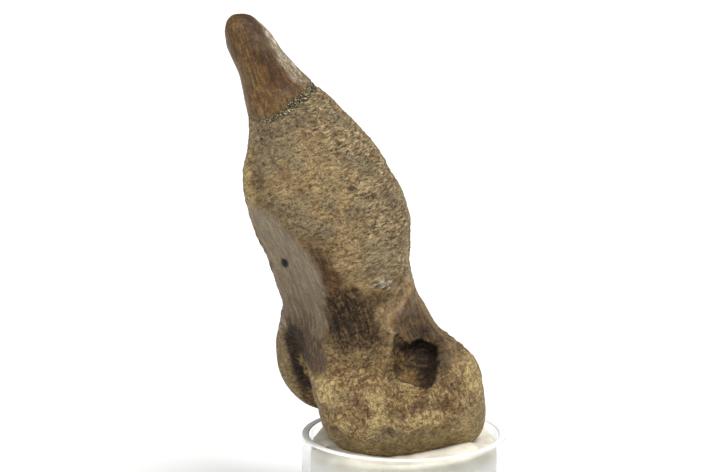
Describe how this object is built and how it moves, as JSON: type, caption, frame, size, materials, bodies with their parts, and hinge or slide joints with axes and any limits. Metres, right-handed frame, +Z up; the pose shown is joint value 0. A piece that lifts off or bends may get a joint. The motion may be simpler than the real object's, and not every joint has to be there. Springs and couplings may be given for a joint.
{
  "type": "fossil dinosaur metatarsal",
  "caption": "Fossil dinosaur foot bone upright in a clear cup: tapering head, flattened shaft and a grooved, rolled lower end with a side pit.",
  "frame": {"origin": "centre of the cup's underside", "axes": "+Z up along the cup's axis and towards the bone's head, -Y out of the bone's side that has the pit, -X the way the bone leans"},
  "size_m": [0.0606, 0.0446, 0.1117],
  "materials": {
    "fossil_bone": "dry, mottled golden brown, semi-matt",
    "putty": "cream, dull, pressed by hand",
    "clear_acrylic": "clear, polished"
  },
  "bodies": {
    "root": {"metatarsal": "fossil_bone", "putty": "putty", "display_cup": "clear_acrylic"}
  },
  "joints": []
}
